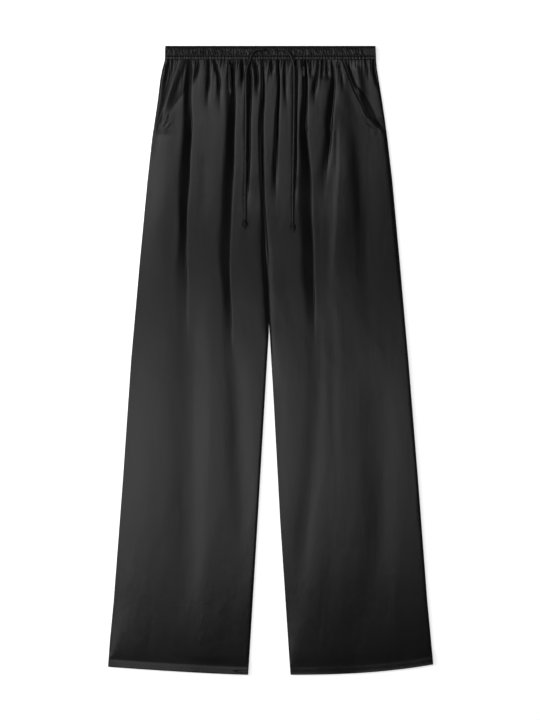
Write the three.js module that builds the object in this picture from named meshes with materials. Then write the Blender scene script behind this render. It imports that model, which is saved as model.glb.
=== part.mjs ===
// Wide-leg pull-on trousers in satin, lying flat with the front up.
// Millimetres. +X runs to the right of the front, +Y towards the waist, +Z up from the surface.
// Left and right are as seen from the front.
import * as THREE from 'three';

// Cloth
const wall = 1.2; // one layer of cloth
const seamGap = 0.3; // between pieces that are sewn together
const doubled = 2 * wall; // turned cloth: casing and hems

// Garment
const waistTop = 534; // height of the back of the waistband above the middle of the garment
const frontBandDrop = 3.4; // the front of the waistband lies this much lower than the back
const bandHeight = 24;
const bandBottom = waistTop - bandHeight;
const hemHeight = 14.5;
const crotch = 215; // where the centre seam ends and the inseams begin

// Relief of the fronts over the backs
const hollowShare = 0.66; // share of a fold's height that is hollow below it, the rest is gathered cloth
const edgeRound = 11; // how far in from an edge the cloth takes to rise
const pocketRise = 2.4; // the fronts ride at least this high where they lie on a pocket facing

// Side seams, by height: x of the left and of the right one
const sideSeams = [
  { y: 534, left: -179, right: 178 },
  { y: 510, left: -179.5, right: 179 },
  { y: 494, left: -184, right: 180.5 },
  { y: 476, left: -187.5, right: 183.5 },
  { y: 442, left: -191.5, right: 189 },
  { y: 408, left: -196.5, right: 194 },
  { y: 374, left: -201.5, right: 198.5 },
  { y: 306, left: -209, right: 206.5 },
  { y: 170, left: -222, right: 219 },
  { y: 0, left: -237, right: 234 },
  { y: -204, left: -251, right: 250.5 },
  { y: -408, left: -266.5, right: 266 },
  { y: -476, left: -273, right: 272.5 },
  { y: -534, left: -277, right: 277.5 },
];

// Centre seam down to the crotch, then the two inseams
const innerSeams = [
  { y: 534, left: -13.5, right: -13.5 },
  { y: 446, left: -14.7, right: -14.7 },
  { y: 391, left: -16.4, right: -16.4 },
  { y: 340, left: -17.2, right: -17.2 },
  { y: 306, left: -16.2, right: -16.2 },
  { y: 272, left: -13, right: -13 },
  { y: crotch, left: -10, right: -10 },
  { y: 136, left: -6.8, right: -6 },
  { y: 46, left: -2.8, right: -1.2 },
  { y: 0, left: -6, right: 1 },
  { y: -68, left: -10, right: 5 },
  { y: -272, left: -22, right: 16 },
  { y: -534, left: -38, right: 33.5 },
];

// Slanted mouths of the hip pockets: the edge of each front above the end of its side seam
const pocketMouths = [
  { y: 510, left: -157, right: 123 },
  { y: 496, left: -160.5, right: 129 },
  { y: 476, left: -167.5, right: 138 },
  { y: 456, left: -173.5, right: 147 },
  { y: 434, left: -180, right: 159 },
  { y: 412, left: -187, right: 169.5 },
  { y: 399, left: -194, right: 182 },
  { y: 390, left: -199, right: 196 },
];
const pocketBottom = 390;
const facingUnderlap = 14; // how far a facing reaches under its front
const facingTail = 6; // how far it reaches below the mouth

// Height of the puffed cloth between folds
const puff = [
  { y: 510, height: 2.3 },
  { y: 496, height: 4.2 },
  { y: 470, height: 5.4 },
  { y: 400, height: 5.4 },
  { y: 300, height: 4.6 },
  { y: 150, height: 3.7 },
  { y: 0, height: 3.1 },
  { y: -300, height: 2.7 },
  { y: -534, height: 2.3 },
];

// Troughs of the fronts, each from its top to its end, bowed sideways in the middle
const folds = [
  { top: 508, end: 175, xTop: -138, xEnd: -151, bow: -4, halfWidth: 9, depth: 5 },
  { top: 508, end: 415, xTop: -104, xEnd: -107, bow: 0, halfWidth: 6, depth: 3 },
  { top: 505, end: 405, xTop: -91, xEnd: -87, bow: 0, halfWidth: 5, depth: 2.6 },
  { top: 506, end: 90, xTop: -67, xEnd: -81, bow: 0.5, halfWidth: 9, depth: 5.2 },
  { top: 508, end: 440, xTop: -24, xEnd: -25, bow: 0, halfWidth: 5, depth: 2.6 },
  { top: 508, end: 190, xTop: -13.7, xEnd: -9.5, bow: -5, halfWidth: 6, depth: 3.6 },
  { top: 506, end: 295, xTop: 13, xEnd: 7.5, bow: 1, halfWidth: 6, depth: 4 },
  { top: 506, end: 410, xTop: 29, xEnd: 28, bow: 0, halfWidth: 5, depth: 2.4 },
  { top: 507, end: 100, xTop: 56, xEnd: 65, bow: -2, halfWidth: 9, depth: 5.1 },
  { top: 507, end: 440, xTop: 76, xEnd: 71, bow: 0, halfWidth: 6, depth: 3 },
  { top: 505, end: 265, xTop: 105, xEnd: 91, bow: 0, halfWidth: 7, depth: 3.8 },
  { top: 420, end: 110, xTop: 145, xEnd: 158, bow: -2, halfWidth: 11, depth: 2.8 },
  { top: 120, end: -460, xTop: -134, xEnd: -141, bow: -1, halfWidth: 22, depth: 1.4 },
  { top: 100, end: -430, xTop: -66, xEnd: -54, bow: 6, halfWidth: 18, depth: 1.5 },
  { top: 130, end: -430, xTop: 80, xEnd: 50, bow: 12, halfWidth: 14, depth: 1.5 },
  { top: 60, end: -460, xTop: 172, xEnd: 186, bow: 8, halfWidth: 22, depth: 1.5 },
];

// Drawstring: a cord of satin lying over the front, from a buttonhole in the waistband to a knot
const cordDiameter = 5;
const cordSides = 8;
const cordSteps = 56;
const knotLength = 13;
const knotWidth = 10;
const knotHeight = 8;
const knotRise = 1.3; // height of a knot's middle over that of its cord
const cordRoutes = {
  left: [
    [-6, 527, 8.5], [-12, 527.5, 8.7], [-19, 527.3, 8.7], [-25, 526, 8.7], [-29.5, 522.5, 8.7],
    [-32.5, 517.5, 8.7], [-34.5, 511, 8.8], [-36.5, 505, 9.1], [-39.5, 497, 9.8], [-41.5, 487, 10.5],
    [-42, 470, 11], [-42, 440, 11.1], [-42, 400, 11], [-42.5, 360, 10.8], [-42.8, 320, 10.5],
    [-43.2, 280, 10.2], [-43.2, 237, 9.9],
  ],
  right: [
    [9, 527, 8.5], [14, 527.5, 8.7], [19, 527.3, 8.7], [24.5, 526, 8.7], [29, 522.5, 8.7],
    [33, 517.5, 8.7], [36, 511, 8.8], [38, 505, 9.1], [39.5, 497, 9.7], [40, 487, 10.3],
    [40, 470, 10.8], [40, 440, 10.9], [39.5, 400, 10.7], [38.8, 360, 10.4], [38, 320, 10],
    [37.5, 280, 9.9], [37.3, 232, 9.8],
  ],
};

// Finishes
const satin = new THREE.MeshStandardMaterial({ color: 0x1b1b1d, roughness: 0.38, metalness: 0 });
const casingSatin = new THREE.MeshStandardMaterial({ color: 0x18181a, roughness: 0.45, metalness: 0 });
const cordSatin = new THREE.MeshStandardMaterial({ color: 0x161618, roughness: 0.35, metalness: 0 });

const { lerp, smoothstep } = THREE.MathUtils;

/** Value of a table's column at height y, straight between rows. */
function lookUp(table, column, y) {
  const below = table.findIndex((row) => row.y <= y);
  if (below === 0) return table[0][column];
  if (below < 0) return table.at(-1)[column];
  const [upper, lower] = [table[below - 1], table[below]];
  return lerp(upper[column], lower[column], (upper.y - y) / (upper.y - lower.y));
}

/** Height of the bottom edge of a leg, from its side seam (0) to its inseam (1): a shallow curve. */
function hemLine(side, inward) {
  const { outerEnd, drop, power } = side === 'left'
    ? { outerEnd: -520.5, drop: 13.5, power: 1.3 }
    : { outerEnd: -516.5, drop: 17.5, power: 2.4 };
  return outerEnd - drop * (1 - (1 - inward) ** power);
}

/** Relief of the fronts at a point, from the puff between the layers, less the folds, down to 0 at the edges. */
function relief(x, y, outerX, innerX) {
  const fromOuter = Math.abs(x - outerX);
  const fromInner = Math.abs(x - innerX);
  const openInner = y < crotch ? 1 - Math.exp(-fromInner / edgeRound) : 1;
  let height = lookUp(puff, 'height', y) * (1 - Math.exp(-fromOuter / edgeRound)) * openInner;
  for (const { top, end, xTop, xEnd, bow, halfWidth, depth } of folds) {
    const along = (top - y) / (top - end);
    if (along < 0 || along > 1) continue;
    const middle = lerp(xTop, xEnd, along) + bow * 4 * along * (1 - along);
    const fade = smoothstep(along, 0, 0.12) * (1 - smoothstep(along, 0.6, 1));
    height -= depth * fade * Math.exp(-(((x - middle) / halfWidth) ** 2));
  }
  const mouth = Math.abs(lookUp(pocketMouths, x < 0 ? 'left' : 'right', y));
  const overFacing = smoothstep(y, 340, 378) * smoothstep(Math.abs(x), mouth - 50, mouth - 22);
  return Math.max(height, pocketRise * overFacing, 0);
}

/**
 * Closed wall between two surfaces over the same grid. Each surface is a function of across (0 to 1,
 * towards +X) and down (0 to 1, towards the hem) that returns a point.
 */
function wallBetween(upper, lower, columns, rows, rowPower = 1) {
  const positions = [];
  for (const surface of [upper, lower]) {
    for (let row = 0; row <= rows; row += 1) {
      for (let column = 0; column <= columns; column += 1) {
        positions.push(...surface(column / columns, (row / rows) ** rowPower));
      }
    }
  }
  const layer = (rows + 1) * (columns + 1);
  const at = (row, column, side) => side * layer + row * (columns + 1) + column;
  const index = [];
  const quad = (a, b, c, d) => index.push(a, b, c, a, c, d);
  for (let row = 0; row < rows; row += 1) {
    for (let column = 0; column < columns; column += 1) {
      quad(at(row, column, 0), at(row + 1, column, 0), at(row + 1, column + 1, 0), at(row, column + 1, 0));
      quad(at(row, column, 1), at(row, column + 1, 1), at(row + 1, column + 1, 1), at(row + 1, column, 1));
    }
    quad(at(row, 0, 0), at(row, 0, 1), at(row + 1, 0, 1), at(row + 1, 0, 0));
    quad(at(row, columns, 0), at(row + 1, columns, 0), at(row + 1, columns, 1), at(row, columns, 1));
  }
  for (let column = 0; column < columns; column += 1) {
    quad(at(0, column, 0), at(0, column + 1, 0), at(0, column + 1, 1), at(0, column, 1));
    quad(at(rows, column, 0), at(rows, column, 1), at(rows, column + 1, 1), at(rows, column + 1, 0));
  }
  const geometry = new THREE.BufferGeometry();
  geometry.setAttribute('position', new THREE.Float32BufferAttribute(positions, 3));
  geometry.setIndex(index);
  geometry.computeVertexNormals();
  return geometry;
}

/** The x of a leg's outer and inner edge at height y, the inner one half a seam gap back from the seam. */
function legEdges(side, y, outerTable = sideSeams) {
  const outward = side === 'left' ? -1 : 1;
  const outer = lookUp(outerTable, side, y);
  const inner = lookUp(innerSeams, side, y) + (outward * seamGap) / 2;
  return { outer, inner };
}

/** Plan position on a leg: across it from left to right and down it from height top to its bottom line. */
function legPlan(side, across, down, top, raise, edgesAt) {
  const inward = side === 'left' ? across : 1 - across;
  const y = lerp(top, hemLine(side, inward) + raise, down);
  const { outer, inner } = edgesAt(y);
  return { x: lerp(outer, inner, inward), y, outer, inner };
}

function backPanel(side) {
  const top = bandBottom - seamGap;
  const plan = (across, down) => legPlan(side, across, down, top, hemHeight + seamGap, (y) => legEdges(side, y));
  const at = (z) => (across, down) => {
    const { x, y } = plan(across, down);
    return [x, y, z];
  };
  return wallBetween(at(wall), at(0), 10, 18, 1.3);
}

function frontPanel(side) {
  const top = bandBottom - seamGap;
  const edgesAt = (y) => legEdges(side, y, y > pocketBottom ? pocketMouths : sideSeams);
  const plan = (across, down) => legPlan(side, across, down, top, hemHeight + seamGap, edgesAt);
  const at = (base, share) => (across, down) => {
    const { x, y, outer, inner } = plan(across, down);
    return [x, y, base + share * relief(x, y, outer, inner)];
  };
  const bottom = wall + seamGap;
  return wallBetween(at(bottom + wall, 1), at(bottom, hollowShare), 22, 30, 1.8);
}

function hem(side, bottom, columns) {
  const at = (z, lift) => (across, down) => {
    const inward = side === 'left' ? across : 1 - across;
    const y = hemLine(side, inward) + hemHeight * (1 - down);
    const { outer, inner } = legEdges(side, y);
    return [lerp(outer, inner, inward), y, z + lift * Math.sin(Math.PI * across)];
  };
  return wallBetween(at(bottom + doubled - 0.4, 0.4), at(bottom, 0), columns, 2);
}

function pocketFacing(side) {
  const inwards = side === 'left' ? 1 : -1;
  const bottom = wall + seamGap;
  const at = (z) => (across, down) => {
    const y = lerp(bandBottom - seamGap, pocketBottom - facingTail, down);
    const seam = lookUp(sideSeams, side, y);
    const under = lookUp(pocketMouths, side, y) + inwards * facingUnderlap;
    const inward = side === 'left' ? across : 1 - across;
    return [lerp(seam, under, inward), y, z];
  };
  return wallBetween(at(bottom + wall), at(bottom), 6, 12);
}

/** Half of the waistband: a doubled strip with a turned top edge and shallow puckers across it. */
function waistband(top, bottom, columns, pucker) {
  const edge = (y, z, ripples) => (across) => {
    const x = lerp(lookUp(sideSeams, 'left', y), lookUp(sideSeams, 'right', y), across);
    const ripple = ripples * pucker * (0.5 + 0.5 * Math.sin(across * columns * Math.PI * 0.5));
    return [x, y, z + ripple];
  };
  const section = [
    edge(top - 1.5, bottom + doubled, 0.4),
    edge((top + bandBottom) / 2, bottom + doubled, 1),
    edge(bandBottom + 1.5, bottom + doubled, 0.6),
    edge(bandBottom, bottom + doubled * 0.6, 0.3),
  ];
  const underside = [top, (top + bandBottom) / 2, bandBottom + 1.5, bandBottom].map((y) => edge(y, bottom, 0));
  const pick = (edges) => (across, down) => edges[Math.round(down * (edges.length - 1))](across);
  return wallBetween(pick(section), pick(underside), columns, section.length - 1);
}

function cordCurve(side) {
  return new THREE.CatmullRomCurve3(cordRoutes[side].map((point) => new THREE.Vector3(...point)));
}

function cordTube(side) {
  const section = new THREE.Shape();
  for (let corner = 0; corner < cordSides; corner += 1) {
    const angle = (corner / cordSides) * 2 * Math.PI;
    const point = [Math.cos(angle) * cordDiameter / 2, Math.sin(angle) * cordDiameter / 2];
    if (corner === 0) section.moveTo(...point);
    else section.lineTo(...point);
  }
  section.closePath();
  return new THREE.ExtrudeGeometry(section, { steps: cordSteps, extrudePath: cordCurve(side) });
}

/** A knot at the end of a cord: an egg, its near end a gap past the cord's end. */
function cordKnot(side) {
  const geometry = new THREE.SphereGeometry(0.5, 12, 8);
  geometry.rotateX(Math.PI / 2);
  geometry.scale(knotWidth, knotLength, knotHeight);
  const [x, y, z] = cordRoutes[side].at(-1);
  geometry.translate(x, y - knotLength / 2 - seamGap, z + knotRise);
  return geometry;
}

function node(name, geometry, material) {
  const mesh = new THREE.Mesh(geometry, material);
  mesh.name = name;
  return mesh;
}

const trousers = new THREE.Group();
trousers.name = 'trousers';
for (const side of ['left', 'right']) {
  trousers.add(
    node(`back_${side}`, backPanel(side), satin),
    node(`front_${side}`, frontPanel(side), satin),
    node(`pocket_facing_${side}`, pocketFacing(side), satin),
    node(`hem_back_${side}`, hem(side, 0, 10), satin),
    node(`hem_front_${side}`, hem(side, doubled + seamGap, 16), satin),
    node(`drawstring_${side}`, cordTube(side), cordSatin),
    node(`drawstring_knot_${side}`, cordKnot(side), cordSatin),
  );
}
trousers.add(
  node('waistband_back', waistband(waistTop, 0, 24, 0), casingSatin),
  node('waistband_front', waistband(waistTop - frontBandDrop, doubled + seamGap, 72, 0.8), casingSatin),
);

export default trousers;
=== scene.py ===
# Wide-leg satin trousers with a drawstring, laid flat with the front up.
# Tables are in millimetres: x to the right of the front, y towards the waist, z up from the surface.
import bpy
import math
import numpy as np
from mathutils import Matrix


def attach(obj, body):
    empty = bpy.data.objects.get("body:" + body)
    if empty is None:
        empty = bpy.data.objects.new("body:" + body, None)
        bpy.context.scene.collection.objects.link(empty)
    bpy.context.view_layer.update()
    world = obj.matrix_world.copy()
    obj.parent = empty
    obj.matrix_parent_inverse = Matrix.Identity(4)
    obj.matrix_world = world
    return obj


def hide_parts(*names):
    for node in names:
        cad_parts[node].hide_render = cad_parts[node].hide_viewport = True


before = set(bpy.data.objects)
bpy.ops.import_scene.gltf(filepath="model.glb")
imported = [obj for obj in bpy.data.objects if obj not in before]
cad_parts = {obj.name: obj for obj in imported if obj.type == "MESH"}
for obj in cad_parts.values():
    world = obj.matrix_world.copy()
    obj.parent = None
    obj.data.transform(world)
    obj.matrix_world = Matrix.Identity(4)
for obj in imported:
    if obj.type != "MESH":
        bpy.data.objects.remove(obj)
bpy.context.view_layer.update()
print("The packed trousers are loaded")

mm = 0.001

# Camera

cameraSettings = {
    "height": 4.2,  # metres above the cloth
    "viewHeight": 1.2215,  # metres that the picture covers from top to bottom
    "x": -0.0011,
    "y": 0.0004,
    "sensor": 36.0,
    "clothTop": 0.006,
}


def makeCamera(values):
    # straight down: the lens is the sensor times the distance over the height in view
    data = bpy.data.cameras.new("viewCamera")
    data.sensor_width = values["sensor"]
    data.lens = values["sensor"] * values["height"] / values["viewHeight"]
    camera = bpy.data.objects.new("viewCamera", data)
    camera.location = (values["x"], values["y"], values["height"] + values["clothTop"])
    bpy.context.scene.collection.objects.link(camera)
    bpy.context.scene.camera = camera


makeCamera(cameraSettings)

# Outline of the garment

outline = {
    "waistTop": 534.0,
    "frontBandDrop": 3.4,
    "bandBottom": 510.0,
    "hemHeight": 14.5,
    "crotch": 215.0,
    "mouthEnd": 390.0,  # where the pockets' mouths end on the side seams
    "mouthStitch": 6.5,  # how far from its edge a mouth is stitched
    "seamGap": 0.3,
    "wall": 1.2,  # one layer, with the gap below it, as the layers are stacked
    "shell": 0.95,  # the cloth's own thickness
    "lap": 0.15,  # how far two sewn pieces run into each other
    "hemLap": 1.4,  # how far a panel's end lies over the top of its hem
}


def tableOf(columns, *rows):
    # rows of numbers under their columns' names
    return [dict(zip(columns, row)) for row in rows]


sideSeams = tableOf(
    ("y", "left", "right"),
    (534, -179, 178),
    (510, -179.5, 179),
    (494, -184, 180.5),
    (476, -187.5, 183.5),
    (442, -191.5, 189),
    (408, -196.5, 194),
    (374, -201.5, 198.5),
    (306, -209, 206.5),
    (170, -222, 219),
    (0, -237, 234),
    (-204, -251, 250.5),
    (-408, -266.5, 266),
    (-476, -273, 272.5),
    (-534, -277, 277.5),
)
innerSeams = tableOf(
    ("y", "left", "right"),
    (534, -13.5, -13.5),
    (446, -14.7, -14.7),
    (391, -16.4, -16.4),
    (340, -17.2, -17.2),
    (306, -16.2, -16.2),
    (272, -13, -13),
    (215, -10, -10),
    (136, -6.4, -6.4),
    (66, -3, -3),
    (46, -3.1, -1.6),
    (0, -6, 1),
    (-68, -10, 5),
    (-272, -22, 16),
    (-534, -38, 33.5),
)
pocketMouths = tableOf(
    ("y", "left", "right"),
    (510, -157, 123),
    (496, -160.5, 129),
    (476, -167.5, 136.5),
    (456, -173.5, 144),
    (434, -180, 156),
    (412, -187, 166.5),
    (399, -194, 180),
    (390, -199, 196),
)
hemCurves = {
    "left": {"outerEnd": -520.5, "drop": 13.5, "power": 1.3},
    "right": {"outerEnd": -516.5, "drop": 17.5, "power": 2.4},
}
mirror = {"left": 1, "right": -1}  # from a side seam towards the middle


def readTable(table, column, y):
    # straight between the rows, as whole arrays
    rows = table[::-1]
    return np.interp(y, [row["y"] for row in rows], [row[column] for row in rows])


def smoothStep(value, low, high):
    # 0 below low, 1 above high, and 3t2 - 2t3 between
    t = np.clip((value - low) / (high - low), 0, 1)
    return t * t * (3 - 2 * t)


def hemLine(side, inward):
    # y of a leg's bottom edge: its outer end less drop times 1 - (1 - inward) ^ power
    curve = hemCurves[side]
    return curve["outerEnd"] - curve["drop"] * (1 - (1 - inward) ** curve["power"])


def mouthEdge(side, y):
    # x of a front's outer edge: the pocket's mouth above its end on the side seam, then the side seam
    aboveEnd = y > outline["mouthEnd"]
    return np.where(aboveEnd, readTable(pocketMouths, side, y), readTable(sideSeams, side, y))


# Folds of the fronts: each crease is a slope that falls to the right over its width, then climbs back up a
# short wall. Its points are (y, x of the wall, width); fade is where it starts to shallow out and where it
# ends, rise is where it starts and where it is at its deepest, and soft is the least of its roundness.

creases = [
    dict(share=0.97, fade=(262, -70), crisp=9, wall=1.1, at=(
        (512, -134, 7), (494, -133, 11), (470, -134, 13), (440, -135, 11), (408, -133.5, 14),
        (374, -134, 16), (306, -138, 17), (240, -142, 14), (190, -144, 13), (120, -143, 18), (40, -141, 20),
        (-60, -138, 26),
    )),
    dict(share=0.6, fade=(500, 440), crisp=5, wall=1.2, soft=0.3, at=(
        (512, -119, 3), (490, -121, 3.5), (470, -128, 4), (450, -132, 4),
    )),
    dict(share=0.85, fade=(502, 396), crisp=6, wall=1.2, at=(
        (512, -104, 5), (490, -103, 6), (476, -104, 5), (440, -105, 5), (400, -106, 6),
    )),
    dict(share=0.8, fade=(504, 392), crisp=6, wall=1.2, at=(
        (512, -94, 5), (494, -88.5, 5), (476, -85, 5), (440, -84.5, 5), (400, -83, 6),
    )),
    dict(share=0.17, fade=(430, 402), rise=(466, 436), crisp=3, wall=5, soft=0.2, at=(
        (470, -141, 11), (458, -144, 14), (428, -165, 12), (412, -179, 8), (404, -186, 6),
    )),
    dict(share=0.97, fade=(130, -60), crisp=9, wall=1.1, at=(
        (512, -59, 15), (476, -60, 15), (408, -60, 15), (340, -62, 16), (272, -65, 18), (204, -69, 18),
        (136, -69, 15), (60, -67, 13), (-60, -60, 16),
    )),
    dict(share=0.65, fade=(320, 232), crisp=5, wall=1.3, at=(
        (500, -33, 6), (484, -32, 9), (442, -32.5, 9), (408, -34, 8), (340, -36, 7), (272, -38, 5),
        (235, -38.5, 4),
    )),
    dict(share=0.65, fade=(320, 232), crisp=5, wall=1.3, at=(
        (500, 46, 7), (484, 46, 8), (442, 45, 7), (374, 43.5, 6), (306, 42.5, 5), (235, 43, 4),
    )),
    dict(share=0.8, fade=(496, 440), crisp=6, wall=1.2, at=(
        (512, -45, 6), (494, -44.5, 6), (484, -45.5, 4), (440, -48, 4),
    )),
    dict(share=0.8, fade=(488, 430), crisp=6, wall=1.2, at=(
        (512, -25, 7), (498, -22, 8), (488, -19.5, 8), (470, -20.5, 5), (430, -22, 4),
    )),
    dict(share=0.97, fade=(210, 120), crisp=8, wall=1.1, at=(
        (512, -11, 4), (484, -10.5, 5), (442, -10, 7), (408, -12, 8), (340, -12, 7), (272, -10, 6.5),
        (204, -7, 5.5), (150, -4, 5),
    )),
    dict(share=0.5, fade=(500, 470), crisp=5, wall=1.2, at=((512, 4, 3), (495, 4, 3), (470, 4, 3))),
    dict(share=0.95, fade=(390, 215), crisp=7, wall=1.1, at=(
        (512, 15, 3), (490, 16, 4), (440, 16, 5), (408, 14.5, 5.5), (374, 13, 5.5), (340, 11.5, 5),
        (270, 9, 6), (215, 8, 8),
    )),
    dict(share=0.6, fade=(496, 400), crisp=5, wall=1.2, at=(
        (512, 27, 3), (490, 27, 3), (455, 28, 3), (400, 29, 3),
    )),
    dict(share=0.97, fade=(180, -60), crisp=9, wall=1.1, at=(
        (512, 62, 8), (476, 63, 9), (440, 63, 9), (408, 62, 10), (374, 63, 13), (340, 66, 16),
        (306, 69, 19), (240, 70, 21), (170, 73, 20), (120, 74, 16), (40, 74, 15), (-60, 79, 16),
    )),
    dict(share=0.5, fade=(496, 470), crisp=5, wall=1.2, at=(
        (512, 71, 3.5), (490, 70.5, 3.5), (470, 70, 3.5),
    )),
    dict(share=0.85, fade=(488, 415), crisp=6, wall=1.2, at=(
        (512, 84, 4), (490, 83, 4.5), (474, 79, 4.5), (458, 77, 4), (410, 74, 4),
    )),
    dict(share=0.7, fade=(500, 465), crisp=5, wall=1.2, at=((512, 92, 5), (490, 91, 4), (450, 88, 4))),
    dict(share=0.7, fade=(500, 465), crisp=5, wall=1.2, at=((512, 99, 4), (490, 99, 4), (455, 98, 4))),
    dict(share=0.92, fade=(440, 215), crisp=5, wall=1.1, at=(
        (512, 108, 4), (490, 109, 5), (472, 110, 8), (440, 108, 10), (408, 105, 10), (374, 103, 9),
        (320, 96, 11), (270, 91, 13), (220, 88, 14),
    )),
    dict(share=0.5, fade=(490, 440), crisp=4, wall=2, at=(
        (512, 119, 4), (490, 122, 4), (476, 124, 5), (440, 126, 6),
    )),
    dict(share=0.48, fade=(250, -60), crisp=4, wall=55, soft=1, at=(
        (512, 152, 56), (440, 151, 48), (400, 149, 34), (374, 149, 16), (340, 150, 11), (306, 152, 13),
        (240, 158, 14), (160, 163, 18), (0, 170, 26),
    )),
]
# Softer troughs and ridges: height is left or right of the line by its own width
softFolds = [
    dict(left=24, right=6, height=-1.3, fade=(440, 375), at=(
        (560, -140), (470, -141), (440, -142), (405, -144),
    )),
    dict(left=24, right=28, height=1.5, fade=(270, 120), at=(
        (450, -178), (400, -184), (300, -190), (180, -198),
    )),
    dict(left=8, right=24, height=1.1, fade=(190, 30), at=((400, 120), (306, 117), (204, 112), (60, 102))),
    dict(left=10, right=14, height=1.0, fade=(470, 400), at=((512, 118), (470, 121), (400, 124))),
    dict(left=3, right=3, height=-0.35, fade=(340, 290), at=((420, 113), (380, 112), (300, 111))),
    dict(left=9, right=9, height=-0.4, fade=(300, 210), at=((360, -112), (300, -112), (200, -110))),
    dict(left=1.7, right=1.6, height=3.6, fade=(472, 447), at=((506, -67.5), (470, -67), (445, -67))),
    dict(left=1.6, right=1.5, height=2.6, fade=(492, 474), at=((503, 58.5), (480, 58.5), (470, 58))),
    dict(left=30, right=20, height=-2.9, fade=(-250, -490), at=((150, -131), (-150, -134), (-490, -138))),
    dict(left=17, right=19, height=-2.3, fade=(-150, -420), at=(
        (60, -60), (-80, -56), (-250, -50), (-440, -50),
    )),
    dict(left=19, right=15, height=-1.5, fade=(-280, -460), at=(
        (110, 82), (-60, 82), (-150, 76), (-300, 58), (-450, 45),
    )),
    dict(left=9, right=9, height=-0.6, fade=(-60, -240), at=((120, 104), (0, 106), (-240, 106))),
    dict(left=32, right=24, height=-1.9, fade=(-250, -480), at=((20, 182), (-150, 188), (-470, 186))),
    dict(left=40, right=30, height=0.8, fade=(-300, -480), at=((-120, 150), (-300, 150), (-480, 150))),
]
# Puckers where each pocket's mouth ends on the side seam: turn is the way they run, in degrees
puckers = tableOf(
    ("x", "y", "turn", "length", "width", "height"),
    (-188, 403, 35, 4, 1.3, 0.8),
    (-184, 398, 60, 5, 1.3, 0.8),
    (-191, 395, 15, 4, 1.2, 0.8),
    (-179, 405, 72, 5, 1.4, 0.7),
    (-182, 391, -40, 4, 1.3, 0.6),
    (-173, 399, 50, 5, 1.4, 0.6),
    (-176, 412, 28, 5, 1.3, 0.6),
    (180, 399, -40, 5, 1.3, 0.8),
    (173, 404, -60, 5, 1.3, 0.8),
    (186, 391, -20, 4, 1.3, 0.8),
    (167, 409, -48, 6, 1.4, 0.7),
    (177, 391, 35, 4, 1.3, 0.6),
    (163, 399, -65, 5, 1.5, 0.6),
    (160, 416, -35, 5, 1.3, 0.6),
)
puff = tableOf(
    ("y", "height"),
    (510, 2.7),
    (503, 3.4),
    (492, 4.3),
    (470, 5.2),
    (400, 5.5),
    (300, 5.0),
    (150, 4.4),
    (0, 3.6),
    (-300, 3.0),
    (-534, 2.55),
)
relief = {
    "edgeFirst": 11.0,  # how far in the cloth takes to rise from an edge that faces left
    "edgeMiddle": 2.6,  # more than the least, where the two legs meet
    "edgeQuick": 2.2,  # from one that faces right, near the hips
    "edgeLow": 1.2,  # and along the legs
    "edgeSlow": 26.0,  # the slower rise behind it, on each leg's left edge
    "slowShare": 0.74,
    "overhang": 3.4,  # how far a deep crease's upper edge leans over its foot
    "overhangReach": 14.0,
    "steepWall": 1.5,  # creases with a wall shorter than this lean over
    "tailWall": 3.0,  # how much a crease's wall widens where it fades
    "tailWidth": 6.0,  # and its slope
    "tailClimb": 42.0,  # over what width the cloth climbs back up right of a faded crease
    "climbWidths": 5,  # the same in widths of the crease, where that is more
    "roundness": 2.2,
    # gathers below the waistband: pitch, height, and how far down they run
    "gathers": [(9.5, 0.9, 22.0), (4.7, 0.8, 9.0)],
    "gatherPitch": 4.9,
    "facingLift": 2.5,  # the fronts ride this high over a pocket facing, and higher where the mouth gapes
    "sway": 0.45,  # how far a crease wanders from its line
    "undulation": 0.1,
    "gatherMean": 0.55,
    "gatherSlant": 0.12,
    "seamDip": 0.7,  # how far the seam down the middle is drawn in, and how near to it
    "seamReach": 1.3,
    "mouthCrisp": 0.55,  # how much of the edge's rise is lost along a pocket's mouth
    "mouthChannel": 0.05,  # depth and reach of the stitched channel there
    "channelReach": 1.3,
    "rollReach": 1.5,
    "blend": 2.5,
    "least": 0.05,
    "leanInner": 5,  # how far from its inner edge a panel's creases lean over again
    "leanOuter": (2, 16),  # and between which distances from its outer edge
}
# Heights, as y, between which something sets in from nothing to its whole
spans = {
    "aboveHem": (-520, -400),
    "middle": (30, 75),  # the edge's gentler rise, where the two legs meet
    "hips": (60, 220),  # and at the side
    "underMouth": (345, 380),  # the facing below a front
    "overFacing": (355, 392),  # the front over the facing
    "gape": (378, 410),
    "turnedMouth": (384, 394),
    "crispMouth": (392, 404),
    "leftSide": (-402, -380),  # as -y, the soft rise of the left leg's side
    "legsPart": (-50, 30),  # as crotch - y
}


def softRead(points, column, y):
    # a table read straight between its rows, averaged over 20 mm of y, which rounds its corners
    rows = sorted(points)
    heights = [row[0] for row in rows]
    values = [row[column] for row in rows]
    return sum(np.interp(y + shift, heights, values) for shift in (-10, -5, 0, 5, 10)) / 5


def fadeOut(y, fade):
    # 1 above the first height, 0 below the second
    return smoothStep(y, fade[1], fade[0])


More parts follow.
